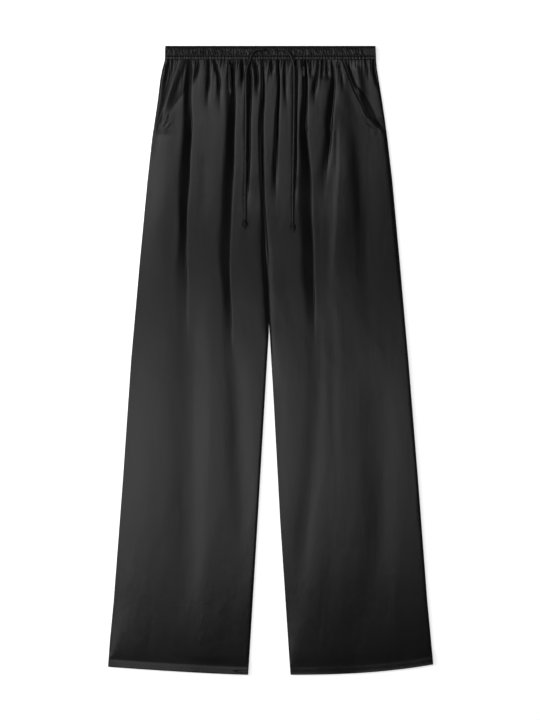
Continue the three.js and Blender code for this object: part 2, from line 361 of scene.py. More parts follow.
def readCreases(x, y, table, relief):
    # what is left of the cloth's height: the product over the creases of 1 - depth x profile, with a depth
    # of share x fade ^ 1.5. Left of the wall the profile is a softened ramp, log(1 + exp(crisp x (1 +
    # distance / width))) / crisp, and right of it exp(-distance / wall). Where the crease is soft or fades,
    # it turns into a rounded step, (1 + tanh(roundness x (distance / width + 0.5))) / 2, that dies away over
    # the climb.
    # Also how far the cloth leans left past each steep wall: overhang x depth ^ 3 x (1 - exp(-distance /
    # wall)) x exp(-distance / reach).
    kept = np.ones_like(x)
    lean = np.zeros_like(x)
    for number, fold in enumerate(table):
        line = softRead(fold["at"], 1, y)
        line = line + relief["sway"] * np.sin(y / (15 + 3 * (number % 4)) + 1.7 * number)
        fade = fadeOut(y, fold["fade"])
        softness = np.maximum(1 - fade, fold.get("soft", 0))
        uneven = 1 + 0.07 * np.sin(y / 21 + 2.3 * number)
        width = softRead(fold["at"], 2, y) * uneven + relief["tailWidth"] * softness
        offset = x - line
        crisp = fold["crisp"]
        wall = fold["wall"] + relief["tailWall"] * (1 - fade) ** 1.5
        ramp = np.log1p(np.exp(np.clip(crisp * (1 + offset / width), -30, 30))) / crisp
        sharp = np.where(offset < 0, np.minimum(ramp, 1.0), np.exp(-np.abs(offset) / wall))
        rounded = 0.5 + 0.5 * np.tanh(relief["roundness"] * (offset / width + 0.5))
        climb = wall + np.maximum(relief["climbWidths"] * width, relief["tailClimb"])
        past = np.maximum(offset, 0)
        profile = sharp * (1 - softness) + rounded * np.exp(-past / climb) * softness
        depth = fold["share"] * fade**1.5
        if "rise" in fold:
            depth = depth * (1 - fadeOut(y, fold["rise"]))
        kept *= 1 - depth * profile
        if fold["wall"] < relief["steepWall"]:
            foot = 1 - np.exp(-past / fold["wall"])
            lean += relief["overhang"] * depth**3 * foot * np.exp(-past / relief["overhangReach"])
    return kept, lean


def softRelief(x, y, table):
    # sum of height x exp(-(distance / flank width) ^ 2) along each line, coming in over its first quarter
    total = np.zeros_like(x)
    for fold in table:
        offset = x - softRead(fold["at"], 1, y)
        width = np.where(offset < 0, fold["left"], fold["right"])
        top = fold["at"][0][0]
        fade = fadeOut(y, fold["fade"]) * (1 - smoothStep(y, top - 0.25 * (top - fold["fade"][1]), top))
        total += fold["height"] * fade * np.exp(-((offset / width) ** 2))
    return total


def puckered(x, y, table):
    # sum of height x exp(-(along / length) ^ 2 - (across / width) ^ 2), each turned its own way
    total = np.zeros_like(x)
    for row in table:
        turn = math.radians(row["turn"])
        along = (x - row["x"]) * math.sin(turn) + (y - row["y"]) * math.cos(turn)
        across = (x - row["x"]) * math.cos(turn) - (y - row["y"]) * math.sin(turn)
        total += row["height"] * np.exp(-((along / row["length"]) ** 2) - (across / row["width"]) ** 2)
    return total


def gathers(x, slant, pitch):
    # two sine waves whose phase drifts, so that no two gathers are alike, from 0 to 1
    phase = 2 * np.pi * (x + slant) / pitch + 1.5 * np.sin(x / 19 + 1) + 1.1 * np.sin(x / 7.3 + 2)
    wave = 0.65 * np.sin(phase) + 0.35 * np.sin(1.63 * phase + 0.8 + 0.6 * np.sin(x / 11))
    return 0.5 + 0.5 * wave


def undulation(x, y, seed):
    # slow waves of eight random directions, mostly across the leg
    random = np.random.default_rng(seed)
    total = np.zeros_like(x)
    for wave in range(8):
        length = random.uniform(22, 80)
        turn = random.normal(0, 0.3)
        along = x * math.cos(turn) + y * math.sin(turn) * 0.6
        total += np.sin(along * 2 * np.pi / length + random.uniform(0, 6.3))
    return total / 8


frontShapes = {
    "left": {
        "begins": (-440, -290),  # heights, as -y, between which the slower rise at its left edge begins
        "seed": 4,
        "gapeAt": 460,  # where its pocket's mouth gapes most, by how much, and how far up and down
        "gape": 4.0,
        "gapeReach": 50,
        "cover": 30,  # how far from the mouth the cloth keeps clear of the facing
        "turnedEdge": 0.3,  # how far the mouth's edge rolls down
        "outerRoll": 0.05,  # how far its outer and inner edges do
        "innerRoll": 0.5,
    },
    "right": {
        "begins": (-60, 80),
        "seed": 9,
        "gapeAt": 448,
        "gape": 1.2,
        "gapeReach": 45,
        "cover": 46,
        "turnedEdge": 0.9,
        "outerRoll": 0.5,
        "innerRoll": 0.05,
    },
}


def mouthLift(side, y):
    # how high a pocket's mouth gapes over its facing: least + gape x exp(-(distance / reach) ^ 2)
    shape = frontShapes[side]
    least = relief["facingLift"] * (0.5 + 0.5 * smoothStep(y, *spans["gape"]))
    return least + shape["gape"] * np.exp(-(((y - shape["gapeAt"]) / shape["gapeReach"]) ** 2))


def frontRelief(side, x, y, outer, inner):
    # puff between the layers times what the creases leave, plus folds, gathers, slow waves and puckers; it
    # rises from each edge as 1 - exp(-distance / rise)
    shape = frontShapes[side]
    fromOuter = np.abs(x - outer)
    fromInner = np.abs(x - inner)
    fromLeft = fromOuter if side == "left" else fromInner
    height = readTable(puff, "height", y)
    aboveHem = smoothStep(y, *spans["aboveHem"])
    begins = aboveHem * smoothStep(-y, *shape["begins"])
    height -= relief["slowShare"] * height * np.exp(-fromLeft / relief["edgeSlow"]) * begins
    kept, lean = readCreases(x, y, creases, relief)
    height *= kept
    height += softRelief(x, y, softFolds)
    below = outline["bandBottom"] - y
    for pitch, high, reach in relief["gathers"]:
        wave = gathers(x, relief["gatherSlant"] * below + pitch, pitch) - relief["gatherMean"]
        height += high * wave * np.exp(-below / reach) * smoothStep(height, 0, 3)
    height += relief["undulation"] * undulation(x, y, shape["seed"])
    height += puckered(x, y, puckers)
    # the seam down the middle is drawn in, and opens into the inner legs below the crotch
    openInner = smoothStep(outline["crotch"] - y, *spans["legsPart"])
    height -= relief["seamDip"] * np.exp(-((fromInner / relief["seamReach"]) ** 2)) * (1 - openInner)
    quick = relief["edgeLow"] + (relief["edgeQuick"] - relief["edgeLow"]) * smoothStep(y, *spans["hips"])
    quick *= 1 - relief["mouthCrisp"] * smoothStep(y, *spans["crispMouth"])
    quickInner = relief["edgeLow"] + relief["edgeMiddle"] * smoothStep(y, *spans["middle"])
    if side == "left":
        soft = smoothStep(-y, *spans["leftSide"]) * aboveHem
        outerRise, innerRise = relief["edgeFirst"] * soft + quick * (1 - soft), quickInner
    else:
        outerRise, innerRise = quick, relief["edgeFirst"] * begins + quickInner * (1 - begins)
    height *= (1 - np.exp(-fromInner / innerRise) * openInner) * (1 - np.exp(-fromOuter / outerRise))
    # over the pocket facing the cloth keeps clear of it: height and lip are joined as
    # log(exp(blend x height) + exp(blend x lip)) / blend
    mouth = readTable(pocketMouths, side, y)
    fromMouth = (x - mouth) * mirror[side]
    lip = mouthLift(side, y) * smoothStep(y, *spans["overFacing"])
    lip = lip * (1 - smoothStep(fromMouth, 2, shape["cover"]))
    blend = relief["blend"]
    height = np.log(np.exp(blend * height) + np.exp(blend * lip)) / blend
    # the mouth's edge rolls down, beside a shallow stitched channel
    slope = np.gradient(mouth, axis=0) / np.minimum(np.gradient(y, axis=0), -1e-6)
    square = fromMouth / np.sqrt(1 + slope**2)
    onMouth = smoothStep(y, *spans["turnedMouth"])
    channel = np.exp(-(((square - outline["mouthStitch"]) / relief["channelReach"]) ** 2))
    height -= relief["mouthChannel"] * channel * onMouth
    height -= shape["turnedEdge"] * np.exp(-square / relief["rollReach"]) * onMouth * (square >= 0)
    lean = lean * (1 - np.exp(-fromInner / relief["leanInner"])) * smoothStep(fromOuter, *relief["leanOuter"])
    return np.maximum(height, relief["least"]), lean


# Making meshes


def putMesh(name, points, quads, clothUv, caps=()):
    # vertices, four-cornered faces, end caps and a map in metres of cloth, all set as whole arrays
    points = np.ascontiguousarray(points, dtype=np.float32)
    loops = np.concatenate([quads.ravel()] + [np.asarray(cap) for cap in caps]).astype(np.int32)
    sizes = np.concatenate([np.full(len(quads), 4), [len(cap) for cap in caps]]).astype(np.int32)
    mesh = bpy.data.meshes.new(name)
    mesh.vertices.add(len(points))
    mesh.vertices.foreach_set("co", points.ravel())
    mesh.loops.add(len(loops))
    mesh.loops.foreach_set("vertex_index", loops)
    mesh.polygons.add(len(sizes))
    mesh.polygons.foreach_set("loop_start", np.concatenate([[0], np.cumsum(sizes)[:-1]]).astype(np.int32))
    mesh.polygons.foreach_set("use_smooth", np.arange(len(sizes)) < len(quads))  # rims and caps stay crisp
    mesh.update(calc_edges=True)
    layer = mesh.uv_layers.new(name="cloth")
    layer.data.foreach_set("uv", np.asarray(clothUv, dtype=np.float32)[loops].ravel())
    mesh.validate()
    piece = bpy.data.objects.new(name, mesh)
    bpy.context.scene.collection.objects.link(piece)
    return piece


def closedShell(name, upper, lower, skip=1):
    # two surfaces over one grid of rows towards the hem and columns to the right, closed all round;
    # the lower one takes every skip-th row and column
    rows, columns, _ = upper.shape
    coarse = lower[::skip, ::skip]
    points = np.concatenate([upper.reshape(-1, 3), coarse.reshape(-1, 3)]) * mm
    index = np.arange(rows * columns).reshape(rows, columns)
    under = np.arange(coarse[..., 0].size).reshape(coarse.shape[:2]) + rows * columns
    a, b, c, d = index[:-1, :-1], index[1:, :-1], index[1:, 1:], index[:-1, 1:]
    faces = [np.stack([a, b, c, d], -1).reshape(-1, 4)]
    a, b, c, d = under[:-1, :-1], under[:-1, 1:], under[1:, 1:], under[1:, :-1]
    faces.append(np.stack([a, b, c, d], -1).reshape(-1, 4))

    def rim(fine, low):
        # one face for each step of the lower edge, with all of the upper edge's points on it
        runs = [fine[step : len(fine) - skip + step : skip] for step in range(skip)] + [fine[skip::skip]]
        return np.stack([low[:-1]] + runs + [low[1:]], -1)

    rims = [rim(index[0, ::-1], under[0, ::-1]), rim(index[-1], under[-1])]
    rims += [rim(index[:, 0], under[:, 0]), rim(index[::-1, -1], under[::-1, -1])]
    edge = np.concatenate([r[:, ::-1] for r in rims])
    return putMesh(name, points, np.concatenate(faces), points[:, :2], edge)


def roundedSection(halfWidth, halfHeight, topCount, bottomCount):
    # a flat loop with rounded edges: height is the half height x sqrt(1 - |share of half width| ^ 14)
    def face(count):
        t = np.linspace(-1, 1, count + 2)[1:-1]
        across = 1.3 * t - 0.3 * t**3
        return across * halfWidth, halfHeight * np.sqrt(1 - np.abs(across) ** 14)

    topAcross, topHeight = face(topCount)
    lowAcross, lowHeight = face(bottomCount)
    across = np.concatenate([topAcross[::-1], [-halfWidth], lowAcross, [halfWidth]])
    return across, np.concatenate([topHeight[::-1], [0], -lowHeight, [0]])


def ringFaces(count, around):
    # four-cornered faces between count rings of points, and a cap over each end
    index = np.arange(count * around).reshape(count, around)
    following = np.roll(index, -1, axis=1)
    quads = np.stack([index[:-1], index[1:], following[1:], following[:-1]], -1).reshape(-1, 4)
    return quads, [index[0], index[-1][::-1]]


def tubeAlong(name, path, width, height, around, wobble):
    # an oval ring of points square to each point of the path, width x cos by height x sin, times the wobble
    ahead = np.gradient(path, axis=0)
    ahead /= np.linalg.norm(ahead, axis=1)[:, None]
    side = np.cross(ahead, [0.0, 0.0, 1.0])
    flat = np.linalg.norm(side, axis=1) < 0.05
    side[flat] = [1.0, 0.0, 0.0]
    side /= np.linalg.norm(side, axis=1)[:, None]
    up = np.cross(side, ahead)
    turn = np.linspace(0, 2 * np.pi, around, endpoint=False)
    size = wobble(np.arange(len(path))[:, None], turn[None, :])
    ring = size[:, :, None] * (
        side[:, None, :] * (np.cos(turn) * width / 2)[None, :, None]
        + up[:, None, :] * (np.sin(turn) * height / 2)[None, :, None]
    )
    points = (path[:, None, :] + ring).reshape(-1, 3) * mm
    run = np.concatenate([[0], np.cumsum(np.linalg.norm(np.diff(path, axis=0), axis=1))])
    aroundCord = np.tile(turn / (2 * np.pi) * np.pi * width, len(path))
    clothUv = np.stack([aroundCord, np.repeat(run, around)], -1) * mm
    quads, caps = ringFaces(len(path), around)
    return putMesh(name, points, quads, clothUv, caps)


# Drawstring

drawstring = {
    "width": 5.2,
    "height": 4.6,
    "diameter": 5.0,
    "around": 20,
    "step": 1.0,
    "pucker": 0.035,
    "sink": 2.2,  # how far its end goes down into the buttonhole
}
knot = {
    "width": 4.8,
    "flat": 0.68,
    "turns": 1.5,
    "reach": 2.9,  # radius of the winding sideways, and upwards
    "lift": 2.0,
    "drop": 4.2,  # how far it runs on in each turn
    "below": 2.6,  # where it starts, from the cord's end
    "above": 1.2,
    "tail": 4.6,
    "around": 14,
    "step": 0.4,
}
cordRoutes = {
    "left": [
        (-6, 527, 8.5), (-12, 527.5, 8.7), (-19, 527.3, 8.7), (-25, 526, 8.7), (-29.5, 522.5, 8.7),
        (-32.5, 517.5, 8.7), (-34.5, 511, 8.8), (-36.5, 505, 9.1), (-39.5, 497, 9.8), (-41.5, 487, 10.5),
        (-42, 470, 11), (-42, 440, 11.1), (-42, 400, 11), (-42.5, 360, 10.8), (-42.8, 320, 10.5),
        (-43.2, 280, 10.2), (-43.2, 237, 9.9),
    ],
    "right": [
        (9, 527, 8.5), (14, 527.5, 8.7), (19, 527.3, 8.7), (24.5, 526, 8.7), (29, 522.5, 8.7),
        (33, 517.5, 8.7), (36, 511, 8.8), (38, 505, 9.1), (39.5, 497, 9.7), (40, 487, 10.3),
        (40, 470, 10.8), (40, 440, 10.9), (39.5, 400, 10.7), (38.8, 360, 10.4), (38, 320, 10),
        (37.5, 280, 9.9), (37.3, 232, 9.8),
    ],
}


def splineThrough(points, step):
    # cubic from point to point, each with the direction between its neighbours
    points = np.asarray(points, dtype=float)
    gaps = np.linalg.norm(np.diff(points, axis=0), axis=1)
    knots = np.concatenate([[0], np.cumsum(gaps)])
    slopes = np.gradient(points, knots, axis=0)
    where = np.linspace(0, knots[-1], int(knots[-1] / step) + 1)
    piece = np.clip(np.searchsorted(knots, where, side="right") - 1, 0, len(gaps) - 1)
    gap = gaps[piece][:, None]
    t = ((where - knots[piece]) / gaps[piece])[:, None]
    first, second = points[piece], points[piece + 1]
    return (
        (2 * t**3 - 3 * t**2 + 1) * first
        + (t**3 - 2 * t**2 + t) * gap * slopes[piece]
        + (3 * t**2 - 2 * t**3) * second
        + (t**3 - t**2) * gap * slopes[piece + 1]
    )


def makeCord(side, values):
    # a tube of turned satin along the route, with its seam's puckers; its end goes down into the buttonhole
    path = splineThrough(cordRoutes[side], values["step"])
    path[:, 2] -= values["sink"] * np.exp(-((np.arange(len(path)) / 3.5) ** 2))

    def wobble(ring, turn):
        drawn = np.sin(ring * 1.9 + 2 * np.sin(ring / 9.0)) * np.cos(turn - 0.6)
        puckers = drawn + 0.5 * np.sin(ring / 5.3 + turn)
        return (1 + values["pucker"] * puckers) * (1 - 0.35 * np.exp(-((ring / 1.6) ** 2)))

    piece = tubeAlong(f"cord_{side}", path, values["width"], values["height"], values["around"], wobble)
    length = np.linalg.norm(np.diff(path, axis=0), axis=1).sum() * mm
    return piece, path * mm, length


def makeKnot(side, values):
    # an overhand knot: the cord winds round itself, x = reach sin t, z = lift cos t, while y falls evenly,
    # and ends in a short tail
    x, y, z = cordRoutes[side][-1]
    turn = np.linspace(0, 2 * np.pi * values["turns"], 40)
    hand = -mirror[side]
    along = y - values["below"] - values["drop"] * turn / (2 * np.pi)
    above = z + values["above"] + values["lift"] * np.cos(turn)
    wind = np.stack([x + hand * values["reach"] * np.sin(turn), along, above], -1)
    start = np.array([[x, y + 1.5, z], [x, y - 0.6, z + 1.8]])
    end = wind[-1] + np.array([[0.9 * hand, -2.6, 0.6], [1.2 * hand, -values["tail"], 0.2]])
    path = splineThrough(np.concatenate([start, wind[2::4], end]), values["step"])

    def wobble(ring, around):
        return 1 + 0.05 * np.sin(ring * 1.3 + 1.5 * around) + 0.03 * np.sin(ring * 2.9)

    height = values["width"] * values["flat"]
    return tubeAlong(f"knot_{side}", path, values["width"], height, values["around"], wobble)


cords = {side: makeCord(side, drawstring) for side in ("left", "right")}
knots = {side: makeKnot(side, knot) for side in ("left", "right")}
print("The drawstring is made")

# Legs

bandThickness = 2 * outline["wall"]
frontHemZ = bandThickness + outline["seamGap"]  # underside of the front hems and the front band
hems = {
    "columns": 160,
    "top": 26,
    "bottom": 8,
    "wave": 0.45,
    "tilt": {"left": 0.75, "right": 0.05},  # how much higher the fold along the bottom is than the top edge
    "lip": {"left": 0.1, "right": 0.5},  # how much the fold itself bulges
    "channel": 0.04,
    "stitchUp": 11.5,
}
lastRows = (4.2, 3.0, 2.0, 1.2, 0.6, 0.25, 0)  # closer rows of points near a panel's lower end
frontPanel = {"columns": 324, "rows": 264, "rowPower": 1.5, "skip": 3}
backPanel = {"columns": 72, "rows": 120, "rowPower": 1.2, "skip": 1}


def legGrid(side, values, outerAt):
    # plan of a leg's panel: across from left to right, down from the waistband to the top of the hem, in rows
    # that lie at row number ^ power, and closer at the end
    even = np.linspace(0, 1, values["rows"] + 1)[:-1] ** values["rowPower"]
    down = np.concatenate([even, 1 - np.array(lastRows) / (outline["bandBottom"] + outline["waistTop"])])
    across, down = np.meshgrid(np.linspace(0, 1, values["columns"] + 1), down)
    inward = across if side == "left" else 1 - across
    top = outline["bandBottom"] + outline["lap"]
    bottom = hemLine(side, inward) + outline["hemHeight"] - outline["hemLap"]
    y = top + (bottom - top) * down
    outer = outerAt(side, y)
    inner = readTable(innerSeams, side, y) + mirror[side] * outline["lap"] * smoothStep(y, 40, 60)
    return outer + (inner - outer) * inward, y, outer, inner


def hemWave(side, x, up, values):
    # how far a hem rises above flat: two slow sine waves and the tilt, both growing towards the bottom,
    # and the bulge of its fold, lip x exp(-(height above the edge / 2) ^ 2)
    soft = 0.5 * np.sin(x / 13 + 1.2) + np.sin(x / 29 + (2 if side == "left" else 0.5))
    below = 1 - up / outline["hemHeight"]
    bulge = values["lip"][side] * np.exp(-((up / 2.0) ** 2)) * (0.7 + 0.3 * soft)
    return values["wave"] * (0.5 + 0.5 * soft) * (0.3 + 0.7 * below) + values["tilt"][side] * below + bulge


def edgeRoll(distance, size):
    # how far a surface drops where it turns over an edge
    return size * np.exp(-distance / 0.9)


def lowestNear(height, reach):
    # the least height within reach grid steps, so that a coarser surface stays under a fine one
    padded = np.pad(height, reach, mode="edge")
    rows, columns = height.shape
    shifts = range(0, 2 * reach + 1)
    across = np.minimum.reduce([padded[:, step : step + columns] for step in shifts])
    return np.minimum.reduce([across[step : step + rows] for step in shifts])


def makeFront(side, values):
    # a front panel: its relief over the back and the facing, flush with the top of the hem at its lower end
    x, y, outer, inner = legGrid(side, values, mouthEdge)
    shape = frontShapes[side]
    base = outline["wall"] + outline["seamGap"]
    height, lean = frontRelief(side, x, y, outer, inner)
    top = base + outline["wall"] + height - edgeRoll(np.abs(x - outer), shape["outerRoll"])
    top -= edgeRoll(np.abs(x - inner), shape["innerRoll"]) * smoothStep(outline["crotch"] - y, -40, 20)
    flush = frontHemZ + bandThickness + hemWave(side, x, outline["hemHeight"], hems) + 0.03
    top += (flush - top) * (1 - smoothStep(y - y[-1:, :], 3, 16))
    bottom = np.maximum(lowestNear(top, values["skip"]) - outline["shell"], base)
    top = np.maximum(top, bottom + 0.5)
    upper, lower = np.stack([x - lean, y, top], -1), np.stack([x, y, bottom], -1)
    return closedShell(f"front_leg_{side}", upper, lower, values["skip"]), x, y, top


def makeBack(side, values):
    # flat on the surface, with a few shallow troughs pressed into its hidden face
    x, y, outer, inner = legGrid(side, values, lambda s, h: readTable(sideSeams, s, h))
    press = 0.25 * (1 - readCreases(x, y, creases, relief)[0])
    edge = edgeRoll(np.abs(x - outer), 0.5) + edgeRoll(np.abs(x - inner), 0.5)
    top = outline["shell"] + 0.2 - press - edge
    bottom = 0.3 * np.exp(-np.abs(x - outer)) + 0.3 * np.exp(-np.abs(x - inner))
    upper, lower = np.stack([x, y, top], -1), np.stack([x, y, bottom], -1)
    return closedShell(f"back_leg_{side}", upper, lower, values["skip"])


fronts = {}
frontSurfaces = {}
backs = {}
for side in ("left", "right"):
    fronts[side], *frontSurfaces[side] = makeFront(side, frontPanel)
    backs[side] = makeBack(side, backPanel)
print("The leg panels are made")

# Pocket facings

facing = {
    "columns": 180,
    "rows": 180,
    "underlap": 14,  # how far it runs on under the front
    "length": 126,
    "clear": 0.9,  # how far it stays below the mouth's cloth
    "underReach": 5,  # how soon it drops away under the front
    "wholeFall": 30,  # widths of the open strip from which its fall and its rise are whole
    "wholeRise": 25,
    "riseOver": 34,  # over what width the right one rises to the seam
    "seamReach": 2.0,
    "bandReach": 9,
    "gatherHeight": 0.6,
    "gatherReach": 13,
    "highest": 6.0,
}
facingShapes = {
    # high is how far under the mouth the cloth stands up, and over what width it falls away outwards
    "left": {"seamSide": 5.2, "high": 0.3, "over": 6, "widens": 0, "atBand": 0.8},
    "right": {"seamSide": 2.2, "high": 5.0, "over": 7, "widens": 1, "atBand": 0.8},
}
facingRidges = {
    "left": [],
    "right": [
        dict(left=6, right=8, height=1.9, fade=(460, 438), at=(
            (508, 143), (483, 147.5), (473, 149.5), (462, 150.5), (440, 154),
        )),
    ],
}
facingFolds = {
    "left": [
        dict(share=0.45, fade=(480, 430), crisp=4, wall=2, soft=0.5, at=(
            (512, -171, 4), (490, -174, 5), (470, -177, 5), (445, -181, 4),
        )),
        dict(share=0.45, fade=(480, 440), crisp=4, wall=2, soft=0.5, at=(
            (512, -163, 4), (490, -166, 5), (465, -170, 4), (440, -176, 3.5),
        )),
    ],
    "right": [
        dict(share=0.5, fade=(490, 466), crisp=5, wall=1.2, at=(
            (512, 162, 4), (490, 165, 4), (470, 168, 4),
        )),
        dict(share=0.7, fade=(480, 450), crisp=4, wall=1.2, at=(
            (512, 176, 5), (490, 178, 7), (476, 181, 5), (450, 184, 4),
        )),
    ],
}


def makeFacing(side, values):
    # from under the front's mouth out to the side seam: it falls away from the mouth, then rises to the seam
    columns, rows = np.linspace(0, 1, values["columns"] + 1), np.linspace(0, 1, values["rows"] + 1)
    across, down = np.meshgrid(columns, rows)
    y = outline["bandBottom"] + outline["lap"] - down * values["length"]
    seam = readTable(sideSeams, side, y)
    mouth = readTable(pocketMouths, side, y)
    under = mouth + mirror[side] * values["underlap"]
    inward = across if side == "left" else 1 - across
    x = seam + (under - seam) * inward
    outward = (mouth - x) * mirror[side]
    space = np.abs(mouth - seam)
    shape = facingShapes[side]
    lipUnder = mouthLift(side, y) * smoothStep(y, *spans["underMouth"]) - values["clear"]
    high = np.minimum(lipUnder, shape["high"])
    over = shape["over"] * np.clip(space / values["wholeFall"], 0.2, 1)
    over = over * (1 + shape["widens"] * smoothStep(-y, -470, -445))
    ramp = np.clip(1 - outward / over, 0, 1)
    slope = np.where(outward > 0, ramp, np.exp(outward / values["underReach"]))
    beyond = outward / (space + 1)
    if side == "right":
        beyond = (outward - 0.5 * shape["over"]) / values["riseOver"]
    rise = shape["seamSide"] * np.clip(beyond, 0, 1) * np.clip(space / values["wholeRise"], 0, 1)
    rise *= 1 - np.exp(-np.abs(x - seam) / values["seamReach"])
    open01 = smoothStep(outward, -2, 4)
    height = high * slope + rise + softRelief(x, y, facingRidges[side])
    below = outline["bandBottom"] - y
    height += shape["atBand"] * np.exp(-below / values["bandReach"]) * open01
    height *= 1 - (1 - readCreases(x, y, facingFolds[side], relief)[0]) * open01
    gathered = values["gatherHeight"] * (gathers(x, 0, relief["gatherPitch"]) - 0.4)
    height += gathered * np.exp(-below / values["gatherReach"]) * open01
    limit = np.where(outward < 0.5, np.maximum(lipUnder, 0), values["highest"])
    height = np.clip(height, 0, limit)
    top = 2 * outline["wall"] + outline["seamGap"] + height - edgeRoll(np.abs(x - seam), 0.4)
    bottom = np.maximum(top - outline["shell"], outline["wall"] + outline["seamGap"])
    top = np.maximum(top, bottom + 0.5)
    return closedShell(f"pocket_{side}", np.stack([x, y, top], -1), np.stack([x, y, bottom], -1))


facings = {side: makeFacing(side, facing) for side in ("left", "right")}
print("The pocket facings are made")

# Waistband

waistband = {
    "columns": 720,
    "top": 40,
    "bottom": 10,
    "pitch": 4.2,
    "ripple": 1.7,
    "lipRipple": 0.6,
    "stitchLine": 516.4,
    "channel": 0.8,
    "smoothEnd": 158.0,  # no puckers right of this
    "slant": 0.22,
    "busyAt": -118,  # where the puckers are deepest, how much more, and how far around
    "busy": 0.5,
    "busyReach": 32,
    "foldSlant": 0.42,
    "foldDepth": 1.0,
    "foldReach": 1.2,
    "backFall": 1.5,  # how far the back strip's upper edge falls away, and over what height
    "backFallOver": 4.2,
}


def makeBand(name, top, bottomZ, values, shows):
    # a doubled strip across the waist whose upper face is drawn into puckers above its stitch line
    lower = outline["bandBottom"]
    stitchLine, smoothEnd = values["stitchLine"], values["smoothEnd"]
    across = np.linspace(0, 1, values["columns"] + 1)[:, None]
    u, w = roundedSection((top - lower) / 2, outline["wall"], values["top"], values["bottom"])
    y = (top + lower) / 2 + u
    left = readTable(sideSeams, "left", y)
    right = readTable(sideSeams, "right", y)
    x = left[None, :] + (right - left)[None, :] * across
    y = np.broadcast_to(y, x.shape)
    z = np.broadcast_to(bottomZ + outline["wall"] + w, x.shape).copy()
    face = np.clip(w / outline["wall"], 0, 1)[None, :]
    slant = values["slant"] * (y - lower) + 0.9 * np.sin(y / 2.1 + x / 9)
    uneven = 0.5 + 0.5 * np.sin(x / 5.3 + 2 * np.sin(x / 23)) * np.sin(y / 1.7 + x / 6.1)
    busy = values["busy"] * np.exp(-(((x - values["busyAt"]) / values["busyReach"]) ** 2))
    strength = (0.35 + 0.65 * uneven) * (1 + busy)
    drawn = strength * (1 - smoothStep(x, smoothEnd - 8, smoothEnd + 4))
    puckers = gathers(x, slant, values["pitch"]) * drawn
    casing = smoothStep(y, stitchLine + 1, stitchLine + 3) * (1 - smoothStep(y, top - 4.5, top - 1.5))
    if shows:
        z += face * values["ripple"] * puckers * casing
        z += face * values["lipRipple"] * gathers(x, 0.3 * slant, values["pitch"] * 1.2) * (1 - casing)
        z -= face * values["channel"] * np.exp(-(((y - stitchLine) / 1.1) ** 2))
        # one fold slants across the band where its puckers end
        crossing = x - (values["foldSlant"] * (stitchLine + 12 - y) + smoothEnd - 3)
        fold = values["foldDepth"] * np.exp(-((crossing / values["foldReach"]) ** 2))
        z -= face * fold * smoothStep(y, lower, lower + 5)
    else:
        # the strip that shows above the front falls away to its own turned edge
        z -= face * values["backFall"] * smoothStep(y, top - values["backFallOver"], top)
    count, around = x.shape
    quads, caps = ringFaces(count, around)
    points = np.stack([x, y, z], -1).reshape(-1, 3)
    clothUv = np.stack([np.repeat(x.mean(axis=1), around), np.tile(u, count)], -1) * mm
    return putMesh(name, points * mm, quads, clothUv, caps)


frontBandTop = outline["waistTop"] - outline["frontBandDrop"]
bands = {
    "back": makeBand("band_back", outline["waistTop"], 0.0, waistband, False),
    "front": makeBand("band_front", frontBandTop, frontHemZ, waistband, True),
}
print("The waistband is made")

# Hems


def makeHem(name, side, bottomZ, values, waves):
    # a doubled strip along the leg's bottom line, its fold rounded, gently waved where it shows
    inward = np.linspace(0, 1, values["columns"] + 1)
    inward = inward if side == "left" else 1 - inward
    u, w = roundedSection(outline["hemHeight"] / 2, outline["wall"], values["top"], values["bottom"])
    y = hemLine(side, inward)[:, None] + outline["hemHeight"] / 2 + u[None, :]
    outer = readTable(sideSeams, side, y)
    inner = readTable(innerSeams, side, y) - mirror[side] * outline["seamGap"] / 2
    x = outer + (inner - outer) * inward[:, None]
    up = (u + outline["hemHeight"] / 2)[None, :]
    face = np.clip(w / outline["wall"], 0, 1)[None, :]
    z = bottomZ + outline["wall"] + np.broadcast_to(w[None, :], x.shape)
    z = z + waves * face * hemWave(side, x, up, values)
    z = z - waves * face * values["channel"] * np.exp(-(((up - values["stitchUp"]) / 0.9) ** 2))
    if side == "left":
        # a small fold at the inner corner
        z = z - waves * face * 0.9 * np.exp(-(((up - 5) / 1.3) ** 2)) * smoothStep(x, -66, -52)
    quads, caps = ringFaces(*x.shape)
    points = np.stack([x, y, z], -1).reshape(-1, 3) * mm
    return putMesh(name, points, quads, points[:, :2], caps)


hemPieces = {}
for side in ("left", "right"):
    hemPieces["back", side] = makeHem(f"hem_under_{side}", side, 0.0, hems, 0)
    hemPieces["front", side] = makeHem(f"hem_{side}", side, frontHemZ, hems, 1)
print("The hems are made")

# Stitches

stitches = {
    "pitch": 3.1,
    "length": 2.2,
    "thickness": 0.36,
    "sides": 6,
    "mouth": (506, 396),  # heights between which a pocket's mouth is stitched
    "hem": (0.004, 0.996),  # shares of the way across a leg between which its hem is
    "band": (-177.5, 177),  # x between which the waistband is
}


